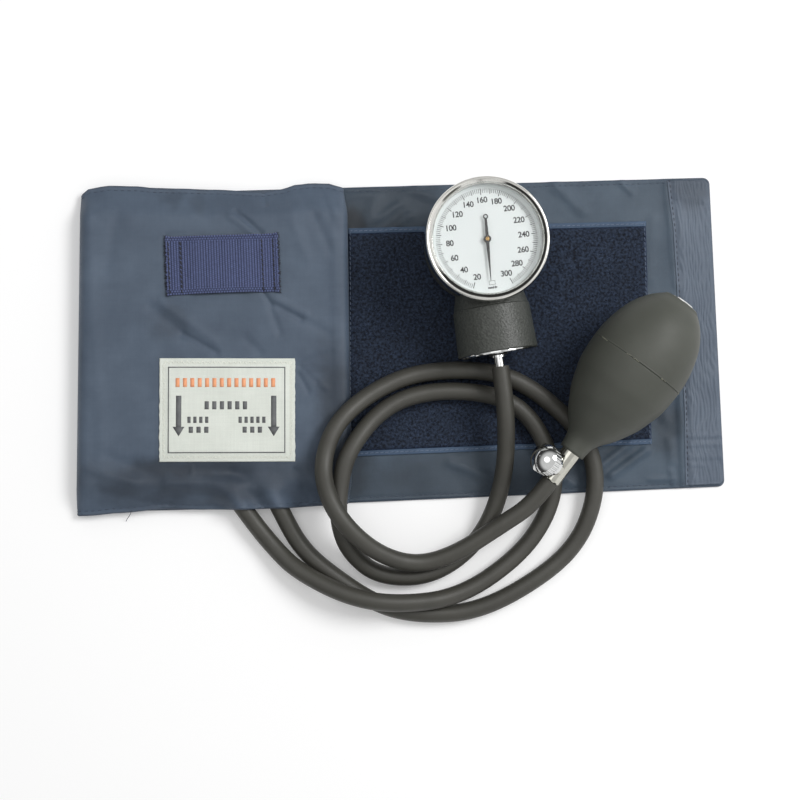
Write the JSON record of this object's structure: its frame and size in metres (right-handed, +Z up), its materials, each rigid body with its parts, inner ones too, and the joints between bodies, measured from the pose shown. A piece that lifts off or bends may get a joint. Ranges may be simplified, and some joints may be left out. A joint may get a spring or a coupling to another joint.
{
  "type": "aneroid sphygmomanometer",
  "caption": "Aneroid blood pressure set: folded arm cuff, round dial gauge on a drum case, rubber squeeze bulb with release valve, and two rubber tubes in loose loops.",
  "frame": {"origin": "middle of the footprint of everything except the two tubes, on the surface that the set lies on", "axes": "+X along the cuff's open panel, +Y towards the side where the gauge lies, +Z up"},
  "size_m": [0.2949, 0.2024, 0.0497],
  "materials": {
    "cuff_nylon": "woven nylon, slate blue, slightly wrinkled",
    "cuff_lining": "woven nylon, navy, matte",
    "bladder_rubber": "matte",
    "loop_pile": "fuzzy loop pile, dark navy",
    "hook_pile": "stiff hook pile",
    "webbing": "ribbed webbing, royal blue",
    "label_weave": "woven satin label, white",
    "gauge_paint": "crinkle paint, dark grey",
    "chrome": "polished",
    "lens_glass": "clear",
    "dial_face": "satin silvery white with a printed scale",
    "black_trim": "matte",
    "washer_rubber": "matte",
    "movement_brass": "satin",
    "movement_steel": "satin",
    "clip_steel": "nickel plated",
    "needle_black": "satin",
    "bulb_rubber": "matte, faint bloom",
    "tube_rubber": "matte, faint bloom"
  },
  "bodies": {
    "cuff_set": {"cuff_cover": "cuff_nylon", "cuff_lining": "cuff_lining", "bladder": "bladder_rubber", "loop_patch": "loop_pile", "hook_patch": "hook_pile", "webbing_strap": "webbing", "cuff_label": "label_weave", "gauge_case": "gauge_paint", "bezel": "chrome", "lens": "lens_glass", "dial": "dial_face", "spacer_ring": "black_trim", "drum_cap": "chrome", "gauge_nipple": "chrome", "nipple_washer": "washer_rubber", "capsule_lower": "movement_brass", "capsule_upper": "movement_brass", "movement_lower_plate": "movement_brass", "movement_upper_plate": "movement_brass", "movement_pillars": "movement_brass", "movement_screws": "movement_steel", "hairspring": "movement_steel", "spring_stud": "movement_brass", "back_clip": "clip_steel", "clip_screws": "movement_steel", "bulb": "bulb_rubber", "end_valve_body": "chrome", "end_valve_cage": "movement_brass", "valve_body": "chrome", "check_seat": "movement_brass", "tube_to_gauge": "tube_rubber", "tube_to_bulb": "tube_rubber"},
    "sector": {"sector_gear": "movement_brass", "sector_arbor": "movement_steel", "sector_lever": "movement_brass", "tail_pin": "movement_steel"},
    "needle_set": {"needle": "needle_black", "needle_hub": "movement_brass", "pinion": "movement_steel", "collet": "movement_brass"},
    "push_rod": {"push_pin": "movement_steel"},
    "release_slide": {"release_stem": "movement_steel"},
    "release_head": {"release_knob": "chrome"},
    "check_valve": {"check_ball": "movement_steel"},
    "end_valve": {"end_valve_ball": "movement_steel"}
  },
  "joints": [
    {"name": "sector_turn", "type": "hinge", "parent": "cuff_set", "child": "sector", "pos_m": [0.03476, 0.02949, 0.0321], "axis": [0, 0, 1], "range_deg": [0, 42]},
    {"name": "needle_turn", "type": "hinge", "parent": "cuff_set", "child": "needle_set", "pos_m": [0.0357, 0.0407, 0.0401], "axis": [0, 0, -1], "range_deg": [0, 336]},
    {"name": "push_travel", "type": "slide", "parent": "cuff_set", "child": "push_rod", "axis": [-0.1132, 0.9936, 0], "range_m": [0, 0.00158]},
    {"name": "release_travel", "type": "slide", "parent": "cuff_set", "child": "release_slide", "axis": [-0.5844, 0.3396, 0.737], "range_m": [0, 0.00105]},
    {"name": "release_turn", "type": "hinge", "parent": "release_slide", "child": "release_head", "pos_m": [0.06094, -0.05734, 0.02639], "axis": [-0.5844, 0.3396, 0.737], "range_deg": [0, 540]},
    {"name": "check_lift", "type": "slide", "parent": "cuff_set", "child": "check_valve", "axis": [-0.6146, -0.7782, -0.1288], "range_m": [0, 0.0007]},
    {"name": "end_lift", "type": "slide", "parent": "cuff_set", "child": "end_valve", "axis": [-0.6146, -0.7782, -0.1288], "range_m": [0, 0.0008]}
  ],
  "couplings": [
    {"joint": "needle_turn", "follows": "sector_turn", "ratio": 8},
    {"joint": "push_travel", "follows": "sector_turn", "m_per_rad": 0.0021554},
    {"joint": "release_travel", "follows": "release_turn", "m_per_rad": 0.00011141}
  ]
}
